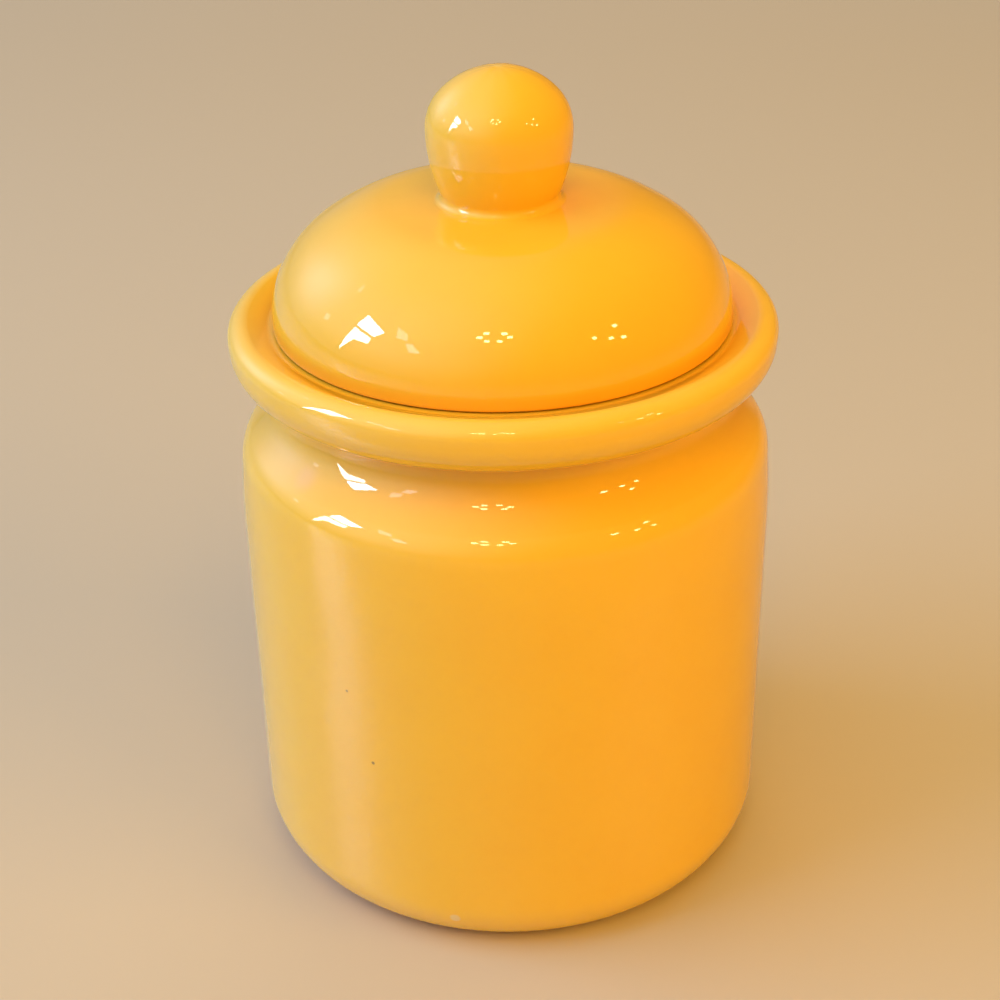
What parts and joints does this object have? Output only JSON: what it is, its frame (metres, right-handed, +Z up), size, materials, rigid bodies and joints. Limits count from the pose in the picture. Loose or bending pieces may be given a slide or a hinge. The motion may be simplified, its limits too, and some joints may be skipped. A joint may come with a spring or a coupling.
{
  "type": "treat canister",
  "caption": "Round glazed stoneware treat canister with a straight wall, drawn-in neck, rolled rim and a loose domed lid that lifts off by its knob.",
  "frame": {"origin": "centre of the foot ring, on the surface that the jar stands on", "axes": "+Z up along the axis that every piece is turned about; the part is round, so +X and +Y are free"},
  "size_m": [0.14, 0.14, 0.217],
  "materials": {
    "glaze": "gloss"
  },
  "bodies": {
    "jar": {"jar_body": "glaze"},
    "lid": {"lid": "glaze", "lid_collar": "glaze", "lid_knob": "glaze"}
  },
  "joints": [
    {"name": "lid_lift", "type": "slide", "parent": "jar", "child": "lid", "axis": [0, 0, 1], "range_m": [0, 0.15]}
  ]
}
